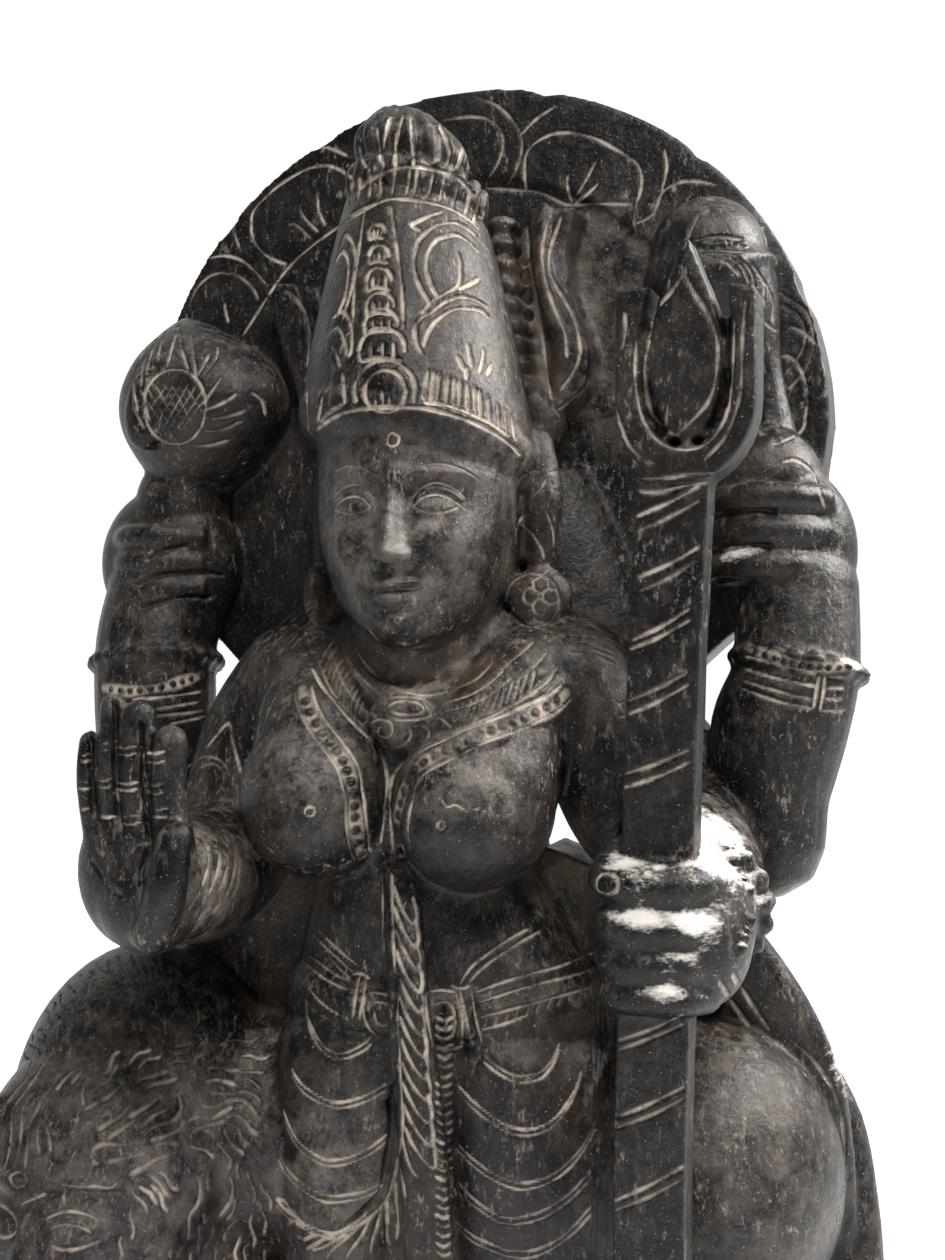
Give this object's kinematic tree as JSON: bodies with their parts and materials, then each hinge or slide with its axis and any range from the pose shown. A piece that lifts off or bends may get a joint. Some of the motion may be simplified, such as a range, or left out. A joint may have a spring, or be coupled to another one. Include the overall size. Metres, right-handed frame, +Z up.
{
  "type": "durga statue",
  "caption": "Carved black stone statue of a four-armed goddess with trident, conch and lion, under an arched petal halo, on a low plinth.",
  "frame": {"origin": "on the plinth's flat underside, below the figure's body", "axes": "+Z up to the halo's top, -Y the way the goddess faces, +X towards her left hand with the trident"},
  "size_m": [0.42, 0.2446, 0.7951],
  "materials": {
    "black_stone": "near-black stone with a dull worn polish, bruised pale grey carved lines and warm brown dust in the hollows"
  },
  "bodies": {
    "root": {"goddess_statue": "black_stone"}
  },
  "joints": []
}
